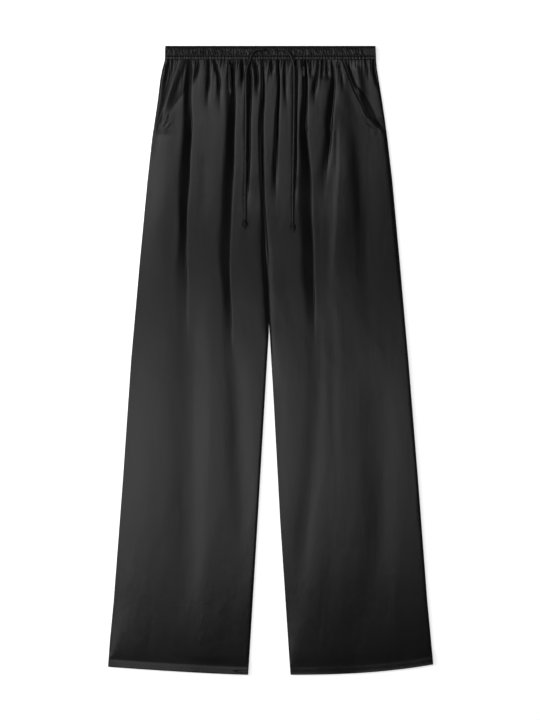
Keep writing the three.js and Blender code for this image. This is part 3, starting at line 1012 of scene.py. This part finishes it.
def stitchRow(name, path, values):
    # short threads laid end to end along a path: rings of a small radius that swells in each one's middle
    gaps = np.linalg.norm(np.diff(path, axis=0), axis=1)
    run = np.concatenate([[0], np.cumsum(gaps)])
    starts = np.arange(0.5, run[-1] - values["length"], values["pitch"])
    share = np.array([0, 0.12, 0.5, 0.88, 1])
    swell = np.array([0.25, 0.8, 1, 0.8, 0.25])
    sink = np.array([-0.3, -0.05, 0.1, -0.05, -0.3]) * values["thickness"]
    where = starts[:, None] + share[None, :] * values["length"]
    centre = np.stack([np.interp(where, run, path[:, axis]) for axis in range(3)], -1)
    centre[:, :, 2] += sink
    ahead = centre[:, -1] - centre[:, 0]
    ahead /= np.linalg.norm(ahead, axis=1)[:, None]
    side = np.cross(ahead, [0.0, 0.0, 1.0])
    up = np.cross(side, ahead)
    turn = np.linspace(0, 2 * np.pi, values["sides"], endpoint=False)
    ring = side[:, None, None, :] * np.cos(turn)[None, None, :, None]
    ring = ring + up[:, None, None, :] * np.sin(turn)[None, None, :, None]
    radius = (swell * values["thickness"] / 2)[None, :, None, None]
    points = (centre[:, :, None, :] + ring * radius).reshape(-1, 3)
    index = np.arange(len(points)).reshape(len(starts), len(share), values["sides"])
    following = np.roll(index, -1, axis=2)
    quads = np.stack([index[:, :-1], index[:, 1:], following[:, 1:], following[:, :-1]], -1).reshape(-1, 4)
    caps = list(index[:, 0]) + list(index[:, -1, ::-1])
    return putMesh(name, points * mm, quads, points[:, :2] * mm, caps)


def surfaceHeight(surface, x, y):
    # height of a front at the given places, from the nearest grid point of each
    gridX, gridY, gridZ = surface
    row = np.abs(gridY[:, gridY.shape[1] // 2][None, :] - y[:, None]).argmin(axis=1)
    column = np.abs(gridX[row] - x[:, None]).argmin(axis=1)
    return gridZ[row, column]


threads = {}
for side in ("left", "right"):
    y = np.linspace(*stitches["mouth"], 160)
    mouth = readTable(pocketMouths, side, y)
    slope = np.gradient(mouth, y)
    x = mouth + mirror[side] * outline["mouthStitch"] * np.sqrt(1 + slope**2)
    z = surfaceHeight(frontSurfaces[side], x, y) + 0.06
    threads["pocket", side] = stitchRow(f"stitches_pocket_{side}", np.stack([x, y, z], -1), stitches)
    inward = np.linspace(*stitches["hem"], 200)
    y = hemLine(side, inward) + hems["stitchUp"]
    outer = readTable(sideSeams, side, y)
    x = outer + (readTable(innerSeams, side, y) - outer) * inward
    z = frontHemZ + bandThickness + hemWave(side, x, hems["stitchUp"], hems) + 0.02
    threads["hem", side] = stitchRow(f"stitches_hem_{side}", np.stack([x, y, z], -1), stitches)
x = np.linspace(*stitches["band"], 400)
z = frontHemZ + bandThickness - 0.35 + 0.2 * np.sin(x / 2.3)
bandPath = np.stack([x, np.full_like(x, waistband["stitchLine"]), z], -1)
threads["band", "front"] = stitchRow("stitches_band", bandPath, stitches)
print("The stitches are made")

# Buttonholes

buttonholes = {
    "width": 7.4,
    "height": 3.6,
    "thickness": 0.9,
    "wraps": 26,
    "places": {"left": (-5.2, 526.6), "right": (8.4, 526.6)},
    "lift": 0.55,
    "steps": 180,
    "around": 8,
}


def makeButtonhole(side, values):
    # a ring of thread round an oval: a tube whose radius swells and sinks once for each wrap
    turn = np.linspace(0, 2 * np.pi, values["steps"])
    middleX, middleY = values["places"][side]
    x = middleX + values["width"] / 2 * np.cos(turn)
    y = middleY + values["height"] / 2 * np.sin(turn)
    z = np.full_like(turn, frontHemZ + bandThickness + values["lift"])

    def wobble(ring, around):
        return 0.86 + 0.14 * np.cos(ring / (values["steps"] - 1) * 2 * np.pi * values["wraps"] + around)

    path = np.stack([x, y, z], -1)
    thickness = values["thickness"]
    return tubeAlong(f"buttonhole_{side}", path, thickness, thickness, values["around"], wobble)


eyelets = {side: makeButtonhole(side, buttonholes) for side in ("left", "right")}

# Finishes


def plug(tree, socket, value):
    # a link where the value is another node's output, else the socket's own value
    if isinstance(value, bpy.types.NodeSocket):
        tree.links.new(value, socket)
    else:
        socket.default_value = value


def addNode(tree, kind, **sockets):
    # a node with what its sockets are given, where _ in a socket's name stands for a space
    node = tree.nodes.new("ShaderNode" + kind)
    for label, value in sockets.items():
        plug(tree, node.inputs[label.replace("_", " ")], value)
    return node


def makeGroup(name, inputs, outputs):
    # a shader group with its named sockets
    group = bpy.data.node_groups.new(name, "ShaderNodeTree")
    for label, kind, value in inputs:
        socket = group.interface.new_socket(name=label, in_out="INPUT", socket_type=kind)
        if value is not None:
            socket.default_value = value
    for label, kind in outputs:
        group.interface.new_socket(name=label, in_out="OUTPUT", socket_type=kind)
    start = group.nodes.new("NodeGroupInput")
    end = group.nodes.new("NodeGroupOutput")
    return group, start, end


def addMath(tree, operation, *values):
    node = tree.nodes.new("ShaderNodeMath")
    node.operation = operation
    for place, value in enumerate(values):
        plug(tree, node.inputs[place], value)
    return node.outputs[0]


def addNoise(tree, vector, scale, detail, roughness, stretch):
    # noise over the cloth, with its pattern stretched along the weave
    placed = addNode(tree, "Mapping", Vector=vector, Scale=stretch).outputs["Vector"]
    noise = addNode(tree, "TexNoise", Vector=placed, Scale=scale, Detail=detail, Roughness=roughness)
    return noise.outputs["Fac"]


def buildWeave():
    # satin weave: long floats of warp laid in rows that are offset, with uneven threads
    group, start, end = makeGroup(
        "satinWeave",
        [("Cloth", "NodeSocketVector", None), ("Threads per metre", "NodeSocketFloat", 3300.0)],
        [("Height", "NodeSocketFloat"), ("Thread", "NodeSocketFloat")],
    )
    cloth = start.outputs["Cloth"]
    warp = addNode(group, "Mapping", Vector=cloth, Rotation=(0, 0, math.pi / 2))  # it runs down the leg
    floats = addNode(
        group,
        "TexBrick",
        Vector=warp.outputs["Vector"],
        Scale=start.outputs["Threads per metre"],
        Color1=(1, 1, 1, 1),
        Color2=(0.62, 0.62, 0.62, 1),
        Mortar=(0, 0, 0, 1),
        Mortar_Size=0.13,
        Mortar_Smooth=1.0,
        Brick_Width=4.6,
        Row_Height=1.0,
    )
    floats.offset = 0.4
    floats.offset_frequency = 2
    uneven = addNoise(group, cloth, 900, 1.0, 0.5, (1, 0.15, 1))
    grey = addNode(group, "RGBToBW", Color=floats.outputs["Color"]).outputs["Val"]
    plug(group, end.inputs["Height"], addMath(group, "MULTIPLY_ADD", uneven, 0.5, grey))
    plug(group, end.inputs["Thread"], grey)
    return group


def buildHandle():
    # the cloth's own unevenness: soft crumples along the leg, finer ones across it, and cloudy tone
    group, start, end = makeGroup(
        "satinHandle",
        [("Cloth", "NodeSocketVector", None), ("Fineness", "NodeSocketFloat", 1.0)],
        [("Crumple", "NodeSocketFloat"), ("Cloud", "NodeSocketFloat")],
    )
    scaled = group.nodes.new("ShaderNodeVectorMath")
    scaled.operation = "SCALE"
    plug(group, scaled.inputs[0], start.outputs["Cloth"])
    plug(group, scaled.inputs["Scale"], start.outputs["Fineness"])
    cloth = scaled.outputs[0]
    long = addNoise(group, cloth, 46, 2.0, 0.45, (1, 0.22, 1))
    short = addNoise(group, cloth, 130, 2.0, 0.5, (1, 0.5, 1))
    plug(group, end.inputs["Crumple"], addMath(group, "MULTIPLY_ADD", short, 0.22, long))
    plug(group, end.inputs["Cloud"], addNoise(group, cloth, 7, 3.0, 0.55, (1, 0.6, 1)))
    return group


weaveGroup = buildWeave()
handleGroup = buildHandle()

finishes = {
    "satin": {
        "dark": (0.0010, 0.0010, 0.0011, 1),
        "light": (0.0020, 0.0020, 0.0022, 1),
        "roughness": (0.21, 0.25),
        "threads": 3300.0,
        "fineness": 1.0,
        "weaveDepth": 0.00003,
        "crumpleDepth": 0.0005,
    },
    "casing": {
        "dark": (0.0012, 0.0012, 0.0013, 1),
        "light": (0.0026, 0.0026, 0.0028, 1),
        "roughness": (0.27, 0.33),
        "threads": 3300.0,
        "fineness": 2.2,
        "weaveDepth": 0.00003,
        "crumpleDepth": 0.0003,
    },
    "cordSatin": {
        "dark": (0.0013, 0.0013, 0.0014, 1),
        "light": (0.0028, 0.0028, 0.003, 1),
        "roughness": (0.25, 0.3),
        "threads": 3300.0,
        "fineness": 2.6,
        "weaveDepth": 0.00003,
        "crumpleDepth": 0.00022,
    },
}


def addGroup(tree, group, vector, label, value):
    node = tree.nodes.new("ShaderNodeGroup")
    node.node_tree = group
    plug(tree, node.inputs["Cloth"], vector)
    plug(tree, node.inputs[label], value)
    return node


def addTone(tree, share, values):
    # from the dark tone to the light one by the share
    tone = tree.nodes.new("ShaderNodeMix")
    tone.data_type = "RGBA"
    plug(tree, tone.inputs["A"], values["dark"])
    plug(tree, tone.inputs["B"], values["light"])
    plug(tree, tone.inputs["Factor"], share)
    return tone.outputs["Result"]


def newMaterial(name, **sockets):
    material = bpy.data.materials.new(name)
    material.use_nodes = True
    tree = material.node_tree
    shader = tree.nodes["Principled BSDF"]
    for label, value in sockets.items():
        plug(tree, shader.inputs[label.replace("_", " ")], value)
    return material, tree, shader


def makeSatin(name, values):
    # dark satin whose tone and gloss drift slowly, with crumples under a fine weave
    material, tree, shader = newMaterial(name, IOR=1.5)
    cloth = tree.nodes.new("ShaderNodeUVMap")
    cloth.uv_map = "cloth"
    weave = addGroup(tree, weaveGroup, cloth.outputs["UV"], "Threads per metre", values["threads"])
    handle = addGroup(tree, handleGroup, cloth.outputs["UV"], "Fineness", values["fineness"])
    share = addMath(tree, "MULTIPLY_ADD", weave.outputs["Thread"], 0.35, handle.outputs["Cloud"])
    gloss = addNode(
        tree,
        "MapRange",
        Value=handle.outputs["Cloud"],
        From_Min=0.3,
        From_Max=0.7,
        To_Min=values["roughness"][0],
        To_Max=values["roughness"][1],
    )
    folds = addNode(tree, "Bump", Distance=values["crumpleDepth"], Height=handle.outputs["Crumple"])
    fine = addNode(tree, "Bump", Distance=values["weaveDepth"], Height=weave.outputs["Height"])
    plug(tree, fine.inputs["Normal"], folds.outputs["Normal"])
    plug(tree, shader.inputs["Base Color"], addTone(tree, share, values))
    plug(tree, shader.inputs["Roughness"], gloss.outputs["Result"])
    plug(tree, shader.inputs["Normal"], fine.outputs["Normal"])
    return material


threadFinish = {
    "dark": (0.004, 0.004, 0.0042, 1),
    "light": (0.012, 0.012, 0.0125, 1),
    "roughness": 0.32,
    "twist": 130.0,
    "depth": 0.00005,
}


def makeThread(name, values):
    # twisted sewing thread: bands slanting round it, read from the object's own coordinates
    material, tree, shader = newMaterial(name, Roughness=values["roughness"])
    place = tree.nodes.new("ShaderNodeTexCoord").outputs["Object"]
    twist = addNode(tree, "TexWave", Vector=place, Scale=values["twist"], Distortion=0.6)
    twist.bands_direction = "DIAGONAL"
    bump = addNode(tree, "Bump", Distance=values["depth"], Height=twist.outputs["Fac"])
    plug(tree, shader.inputs["Base Color"], addTone(tree, twist.outputs["Fac"], values))
    plug(tree, shader.inputs["Normal"], bump.outputs["Normal"])
    return material


satin = makeSatin("blackSatin", finishes["satin"])
casingSatin = makeSatin("casingSatin", finishes["casing"])
cordSatin = makeSatin("cordSatin", finishes["cordSatin"])
thread = makeThread("blackThread", threadFinish)
print("The finishes are made")

# What each piece stands for


def dress(piece, material, slot, *nodes):
    # one finish over the whole piece, riding on the only body
    piece.data.materials.append(material)
    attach(piece, "root")
    if nodes:
        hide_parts(*nodes)


for side in ("left", "right"):
    dress(cords[side][0], cordSatin, "drawstring_satin", f"drawstring_{side}")
    dress(knots[side], cordSatin, "drawstring_satin", f"drawstring_knot_{side}")
    dress(fronts[side], satin, "leg_satin", f"front_{side}")
    dress(backs[side], satin, "leg_satin", f"back_{side}")
    dress(facings[side], satin, "leg_satin", f"pocket_facing_{side}")
    dress(hemPieces["back", side], satin, "hem_satin", f"hem_back_{side}")
    dress(hemPieces["front", side], satin, "hem_satin", f"hem_front_{side}")
    dress(threads["pocket", side], thread, "leg_satin")
    dress(threads["hem", side], thread, "hem_satin")
    dress(eyelets[side], thread, "casing_satin")
dress(bands["front"], casingSatin, "casing_satin", "waistband_front")
dress(bands["back"], casingSatin, "casing_satin", "waistband_back")
dress(threads["band", "front"], thread, "casing_satin")

# Floor and light

stageSettings = {
    "floorSize": 60.0,
    "floorDrop": 0.0003,
    "floorTone": (0.9, 0.9, 0.9, 1),
    "floorGlow": 0.5,
    "world": (0.2, 0.02),  # near the horizon, and overhead
    "rises": (0.34, 0.7),  # sines of the heights between which it dims
    "horizon": 0.9,
}
# Soft boxes in strips that dim to the right: radiance is how bright each looks. One without an aim shines
# straight down.
lights = [
    dict(name="topFar", size=(1.0, 1.05), place=(-1.7, 0.945, 2.5), radiance=2.3),
    dict(name="topNear", size=(0.75, 1.05), place=(-0.825, 0.945, 2.5), radiance=1.7),
    dict(name="topMiddle", size=(0.5, 1.05), place=(-0.2, 0.945, 2.5), radiance=1.3),
    dict(name="topRight", size=(0.4, 0.74), place=(0.25, 0.79, 2.5), radiance=0.45),
    dict(name="lowLeft", size=(1.75, 0.75), place=(-1.325, -0.28, 2.5), radiance=1.75),
    dict(name="lowMiddle", size=(0.5, 0.68), place=(-0.2, -0.25, 2.5), radiance=1.15),
    dict(name="lowRight", size=(0.62, 0.6), place=(0.36, -0.21, 2.5), radiance=0.85),
    dict(name="front", size=(1.4, 0.6), place=(-0.6, -2.2, 1.6), radiance=2.3, aim=(-0.1, -0.4, 0)),
    dict(name="fill", size=(2.5, 2.5), place=(0.2, 0.1, 3.6), radiance=1.3, glossy=False),
    dict(name="side", size=(1.0, 1.0), place=(-2.3, 0.4, 1.4), radiance=15.0, aim=(0, 0, 0), glossy=False),
]


def aimAt(item, target):
    # a light shines along its own -z
    ahead = [target[axis] - item.location[axis] for axis in range(3)]
    flat = math.hypot(ahead[0], ahead[1])
    turn = math.atan2(-ahead[0], ahead[1]) if flat > 1e-6 else 0
    item.rotation_euler = (math.atan2(flat, -ahead[2]), 0, turn)


def makeFloor(values):
    # a pale sheet just below the cloth that glossy cloth doesn't mirror
    half = values["floorSize"] / 2
    drop = -values["floorDrop"]
    mesh = bpy.data.meshes.new("floor")
    corners = [(-half, -half, drop), (half, -half, drop), (half, half, drop), (-half, half, drop)]
    mesh.from_pydata(corners, [], [(0, 1, 2, 3)])
    floor = bpy.data.objects.new("floor", mesh)
    bpy.context.scene.collection.objects.link(floor)
    floor.visible_glossy = False
    material, _, _ = newMaterial(
        "paleFloor",
        Base_Color=values["floorTone"],
        Roughness=1.0,
        Specular_IOR_Level=0.0,
        Emission_Color=(1, 1, 1, 1),
        Emission_Strength=values["floorGlow"],
    )
    mesh.materials.append(material)


def makeLight(lamp):
    # power = radiance x pi x area
    data = bpy.data.lights.new(lamp["name"], "AREA")
    data.shape = "RECTANGLE"
    data.size, data.size_y = lamp["size"]
    data.energy = lamp["radiance"] * math.pi * lamp["size"][0] * lamp["size"][1]
    item = bpy.data.objects.new(lamp["name"], data)
    item.location = lamp["place"]
    aimAt(item, lamp.get("aim", (*lamp["place"][:2], 0)))
    item.visible_glossy = lamp.get("glossy", True)
    bpy.context.scene.collection.objects.link(item)


def makeWorld(values):
    # a studio that dims with height in the cloth's mirror, and is evenly pale to the camera
    world = bpy.data.worlds.new("studio")
    world.use_nodes = True
    bpy.context.scene.world = world
    tree = world.node_tree
    ahead = tree.nodes.new("ShaderNodeTexCoord")
    parts = addNode(tree, "SeparateXYZ", Vector=ahead.outputs["Generated"])
    glow = addNode(
        tree,
        "MapRange",
        Value=parts.outputs["Z"],
        From_Min=values["rises"][0],
        From_Max=values["rises"][1],
        To_Min=values["world"][0],
        To_Max=values["world"][1],
    )
    dim = tree.nodes["Background"]
    plug(tree, dim.inputs["Color"], (1, 1, 1, 1))
    plug(tree, dim.inputs["Strength"], glow.outputs["Result"])
    pale = addNode(tree, "Background", Strength=values["horizon"])
    seen = tree.nodes.new("ShaderNodeLightPath")
    mix = addNode(tree, "MixShader", Fac=seen.outputs["Is Camera Ray"])
    plug(tree, mix.inputs[1], dim.outputs[0])
    plug(tree, mix.inputs[2], pale.outputs[0])
    plug(tree, tree.nodes["World Output"].inputs["Surface"], mix.outputs[0])


makeFloor(stageSettings)
for lamp in lights:
    makeLight(lamp)
makeWorld(stageSettings)
bpy.context.scene.view_settings.view_transform = "Standard"
print("The floor and lights are set")
